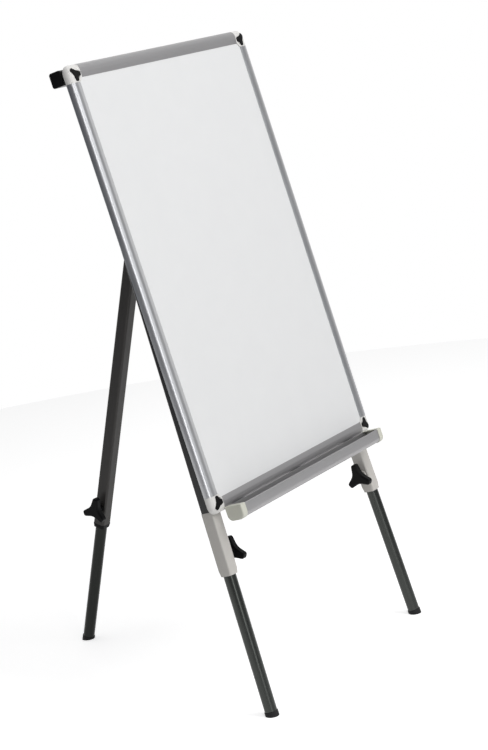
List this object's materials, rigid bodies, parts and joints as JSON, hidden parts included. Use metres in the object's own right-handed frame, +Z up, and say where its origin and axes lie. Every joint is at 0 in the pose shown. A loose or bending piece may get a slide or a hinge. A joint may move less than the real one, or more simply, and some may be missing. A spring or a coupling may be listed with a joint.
{
  "type": "whiteboard easel",
  "caption": "Standing whiteboard easel: framed board leaning on two splayed front legs and a folding rear leg, with sliding lower tubes, clamp knobs and a pen tray.",
  "frame": {"origin": "on the floor, on the centre line, midway between the front feet and the rear foot", "axes": "+Z up, the board faces -Y and leans back, +X to the right as seen from the front"},
  "size_m": [0.6018, 0.7189, 1.2897],
  "materials": {
    "white_enamel": "smooth gloss enamel, writing surface",
    "board_core": "soft fibreboard core",
    "zinc_steel": "bright zinc plated",
    "aluminium": "satin anodised, drawn along its length",
    "white_plastic": "moulded, satin",
    "black_plastic": "moulded, fine grain",
    "beige_plastic": "moulded, satin",
    "dark_steel": "dark grey lacquer, satin gloss",
    "dark_chrome": "dark chrome plated, drawn tube",
    "rubber": "matt",
    "brass": "turned"
  },
  "bodies": {
    "easel_frame": {"board_face": "white_enamel", "board_core": "board_core", "board_back": "zinc_steel", "frame_bar_top": "aluminium", "frame_bar_bottom": "aluminium", "frame_bar_left": "aluminium", "frame_bar_right": "aluminium", "corner_cap_top_left": "white_plastic", "corner_cap_top_right": "white_plastic", "corner_cap_bottom_left": "white_plastic", "corner_cap_bottom_right": "white_plastic", "corner_insert_top_left": "black_plastic", "corner_insert_top_right": "black_plastic", "corner_insert_bottom_left": "black_plastic", "corner_insert_bottom_right": "black_plastic", "tray_profile": "aluminium", "tray_cap_left": "beige_plastic", "tray_cap_right": "beige_plastic", "tray_screws": "zinc_steel", "crossbar": "dark_steel", "crossbar_cap_left": "black_plastic", "crossbar_cap_right": "black_plastic", "crossbar_screws": "zinc_steel", "crossbar_spacers": "black_plastic", "upper_tube_left": "dark_steel", "upper_tube_right": "dark_steel", "sleeve_left": "beige_plastic", "sleeve_right": "beige_plastic", "board_bracket_left": "dark_steel", "board_bracket_right": "dark_steel", "bracket_screws": "zinc_steel", "hinge_bracket": "dark_steel", "hinge_screws": "zinc_steel", "hinge_pin": "zinc_steel", "hinge_nut": "zinc_steel"},
    "rear_leg": {"rear_upper_tube": "dark_steel", "rear_top_plug": "black_plastic", "rear_collar": "black_plastic", "rear_knob_boss": "dark_steel"},
    "left_lower_leg": {"left_lower_tube": "dark_chrome", "left_tube_plug": "black_plastic", "left_foot": "rubber"},
    "left_clamp": {"left_knob": "black_plastic", "left_knob_stud": "brass"},
    "right_lower_leg": {"right_lower_tube": "dark_chrome", "right_tube_plug": "black_plastic", "right_foot": "rubber"},
    "right_clamp": {"right_knob": "black_plastic", "right_knob_stud": "brass"},
    "rear_lower_leg": {"rear_lower_tube": "dark_chrome", "rear_tube_plug": "black_plastic", "rear_foot": "rubber"},
    "rear_clamp": {"rear_knob": "black_plastic", "rear_knob_stud": "brass"}
  },
  "joints": [
    {"name": "rear_leg_fold", "type": "hinge", "parent": "easel_frame", "child": "rear_leg", "pos_m": [0, -0.09115, 1.23517], "axis": [1, 0, 0], "range_deg": [-30.91, 0]},
    {"name": "left_leg_slide", "type": "slide", "parent": "easel_frame", "child": "left_lower_leg", "axis": [-0.0401, -0.1992, -0.9791], "range_m": [-0.25, 0.4]},
    {"name": "left_knob_turn", "type": "hinge", "parent": "easel_frame", "child": "left_clamp", "pos_m": [-0.27387, -0.2797, 0.32097], "axis": [0.9992, -0.008, -0.0393], "range_deg": [0, 360]},
    {"name": "right_leg_slide", "type": "slide", "parent": "easel_frame", "child": "right_lower_leg", "axis": [0.0401, -0.1992, -0.9791], "range_m": [-0.25, 0.4]},
    {"name": "right_knob_turn", "type": "hinge", "parent": "easel_frame", "child": "right_clamp", "pos_m": [0.27387, -0.2797, 0.32097], "axis": [-0.9992, -0.008, -0.0393], "range_deg": [0, 360]},
    {"name": "rear_leg_slide", "type": "slide", "parent": "rear_leg", "child": "rear_lower_leg", "axis": [0, 0.333, -0.9429], "range_m": [-0.25, 0.4]},
    {"name": "rear_knob_turn", "type": "hinge", "parent": "rear_leg", "child": "rear_clamp", "pos_m": [0, 0.23312, 0.31683], "axis": [-1, 0, 0], "range_deg": [0, 360]}
  ]
}
